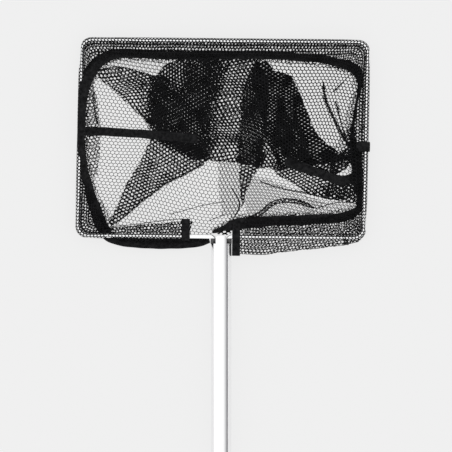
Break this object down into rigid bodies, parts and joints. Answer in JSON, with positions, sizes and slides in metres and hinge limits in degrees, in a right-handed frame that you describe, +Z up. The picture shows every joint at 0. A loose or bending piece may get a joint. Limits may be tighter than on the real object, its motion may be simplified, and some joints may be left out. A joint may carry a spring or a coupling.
{
  "type": "leaf skimmer net",
  "caption": "Rectangular wire hoop with a black knitted netting bag on a telescopic aluminium pole with a twist lock, grip and hanging eye.",
  "frame": {"origin": "on the ground, under the middle of the collapsed net lying face up", "axes": "+X across the hoop to the right, +Y along the pole from the hand grip to the net, +Z up from the ground"},
  "size_m": [0.4046, 0.9463, 0.037],
  "materials": {
    "hoop_aluminium": "bright drawn rod",
    "pole_aluminium": "satin anodised tube",
    "netting": "black knitted polyester netting",
    "binding_tape": "black woven binding tape",
    "lock_plastic": "moulded black nylon",
    "collar_plastic": "moulded grey-black nylon",
    "plug_plastic": "moulded black nylon",
    "grip_rubber": "ribbed soft rubber",
    "rivet_aluminium": "blind rivet",
    "pin_steel": "plain"
  },
  "bodies": {
    "net_and_pole": {"hoop_rod": "hoop_aluminium", "net_sleeve": "netting", "net_bag": "netting", "mouth_binding": "binding_tape", "left_seam_binding": "binding_tape", "right_seam_binding": "binding_tape", "side_loop": "binding_tape", "left_end_binding": "binding_tape", "right_end_binding": "binding_tape", "outer_tube": "pole_aluminium", "head_plug": "plug_plastic", "head_rivets": "rivet_aluminium", "lock_body": "lock_plastic", "lock_pins": "pin_steel", "clamp_ring": "plug_plastic"},
    "collar": {"lock_collar": "collar_plastic"},
    "glide": {"glide_ring": "plug_plastic"},
    "lower_section": {"inner_tube": "pole_aluminium", "hand_grip": "grip_rubber", "end_cap": "lock_plastic"}
  },
  "joints": [
    {"name": "lock_twist", "type": "hinge", "parent": "net_and_pole", "child": "collar", "pos_m": [0, -0.299, 0.0185], "axis": [0, 1, 0], "range_deg": [0, 90]},
    {"name": "pole_extend", "type": "slide", "parent": "net_and_pole", "child": "glide", "axis": [0, -1, 0], "range_m": [0, 0.32]},
    {"name": "grip_turn", "type": "hinge", "parent": "glide", "child": "lower_section", "pos_m": [0, 0.112, 0.0185], "axis": [0, 1, 0], "continuous": true}
  ]
}
